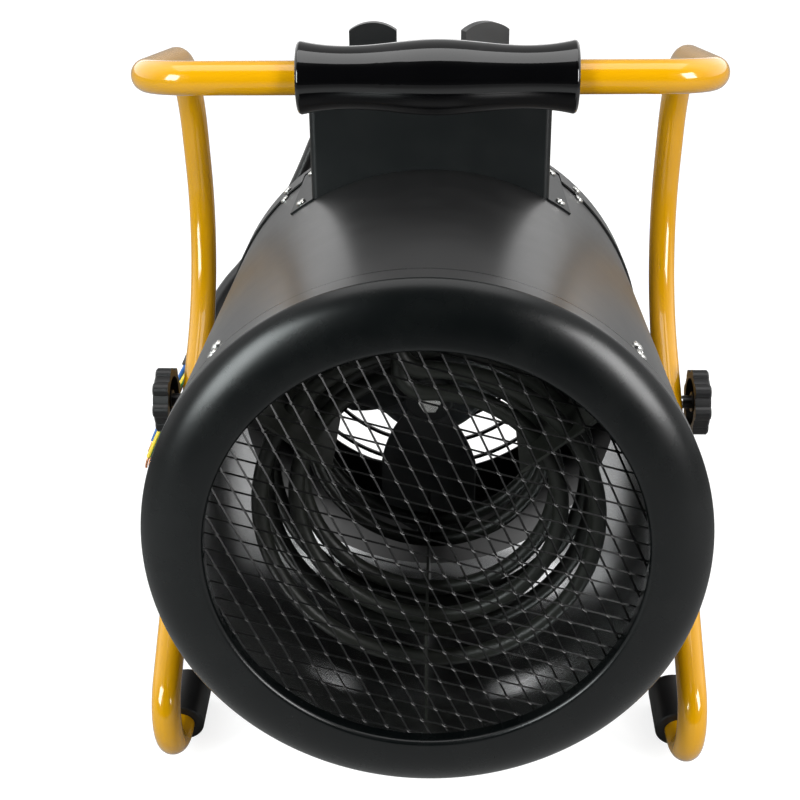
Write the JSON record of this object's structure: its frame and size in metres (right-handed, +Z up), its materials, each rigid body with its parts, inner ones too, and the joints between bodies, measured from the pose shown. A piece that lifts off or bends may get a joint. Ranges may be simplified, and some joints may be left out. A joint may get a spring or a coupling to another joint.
{
  "type": "forced air heater",
  "caption": "Portable electric drum fan heater with tubular coils behind a mesh, tilting on a bent tube stand with a grip, dials on a box at the rear top and a short bare-ended cable.",
  "frame": {"origin": "on the floor, under the middle of the heater without its cable", "axes": "+X right seen from the front, the air outlet faces -Y, +Z up"},
  "size_m": [0.4104, 0.4748, 0.4498],
  "materials": {
    "yellow_enamel": "gloss golden yellow powder coat",
    "gloss_black_grip": "gloss black moulded grip",
    "black_rubber": "matte black rubber",
    "black_plastic": "fine-grained black moulding",
    "zinc_steel": "bright zinc plate",
    "black_enamel": "satin black paint on rolled sheet",
    "charcoal_enamel": "matte charcoal paint with a cool sheen",
    "bright_steel": "bright rolled steel sheet",
    "grille_black": "black dipped wire and mesh",
    "element_sheath": "oxidised olive-grey heating tube",
    "lead_sleeve": "off-white glass fibre sleeving",
    "fan_black": "black painted pressed sheet",
    "motor_grey": "grey painted motor shell",
    "bare_copper": "bare copper",
    "blue_insulation": "blue core insulation",
    "green_yellow_insulation": "green and yellow striped insulation",
    "brown_insulation": "brown core insulation"
  },
  "bodies": {
    "frame": {"frame_tube": "yellow_enamel", "rear_leg": "yellow_enamel", "grip": "gloss_black_grip", "left_foot_sleeve": "black_rubber", "right_foot_sleeve": "black_rubber", "rear_foot_sleeves": "black_rubber"},
    "drum": {"band_screws": "zinc_steel", "bare_strands": "bare_copper", "blue_core": "blue_insulation", "box_lid": "charcoal_enamel", "box_screws": "zinc_steel", "bracket_screws": "zinc_steel", "brown_core": "brown_insulation", "cable_gland": "black_plastic", "control_box": "charcoal_enamel", "drum_shell": "black_enamel", "earth_core": "green_yellow_insulation", "element_collars": "zinc_steel", "element_leads": "lead_sleeve", "element_supports": "element_sheath", "element_terminals": "zinc_steel", "front_element": "element_sheath", "front_ring": "charcoal_enamel", "gland_nut": "black_plastic", "grille": "grille_black", "guard_clips": "grille_black", "guard_screws": "zinc_steel", "inner_liner": "bright_steel", "lid_screws": "zinc_steel", "liner_brackets": "bright_steel", "liner_screws": "zinc_steel", "motor": "motor_grey", "motor_bracket": "bright_steel", "motor_screws": "zinc_steel", "outer_element": "element_sheath", "pivot_nuts": "zinc_steel", "pivot_spacers": "black_plastic", "power_switch": "black_plastic", "rear_cover": "black_enamel", "rear_element": "element_sheath", "rear_guard": "grille_black", "sensing_bulb": "bare_copper", "supply_cable": "black_rubber", "terminal_block": "black_plastic", "thermal_cutout": "black_plastic", "thermostat": "bright_steel"},
    "left_clamp": {"left_clamp_knob": "black_plastic", "left_clamp_stud": "zinc_steel"},
    "right_clamp": {"right_clamp_knob": "black_plastic", "right_clamp_stud": "zinc_steel"},
    "fan": {"fan": "fan_black", "fan_nut": "zinc_steel", "motor_shaft": "zinc_steel"},
    "power_dial": {"power_dial": "black_plastic", "power_spindle": "zinc_steel"},
    "thermostat_dial": {"thermostat_dial": "black_plastic", "thermostat_spindle": "zinc_steel"}
  },
  "joints": [
    {"name": "drum_tilt", "type": "hinge", "parent": "frame", "child": "drum", "pos_m": [0, 0.064, 0.1702], "axis": [-1, 0, 0], "range_deg": [-20, 18]},
    {"name": "left_clamp_turn", "type": "hinge", "parent": "drum", "child": "left_clamp", "pos_m": [-0.1777, 0.064, 0.1702], "axis": [-1, 0, 0], "range_deg": [0, 360]},
    {"name": "right_clamp_turn", "type": "hinge", "parent": "drum", "child": "right_clamp", "pos_m": [0.1777, 0.064, 0.1702], "axis": [1, 0, 0], "range_deg": [0, 360]},
    {"name": "fan_spin", "type": "hinge", "parent": "drum", "child": "fan", "pos_m": [0, 0.04109, 0.19118], "axis": [0, 0.9869, -0.1616], "continuous": true},
    {"name": "power_turn", "type": "hinge", "parent": "drum", "child": "power_dial", "pos_m": [-0.0382, 0.15415, 0.38039], "axis": [0, -0.1616, -0.9869], "range_deg": [0, 135]},
    {"name": "thermostat_turn", "type": "hinge", "parent": "drum", "child": "thermostat_dial", "pos_m": [0.0353, 0.15415, 0.38039], "axis": [0, -0.1616, -0.9869], "range_deg": [-45, 225]}
  ]
}
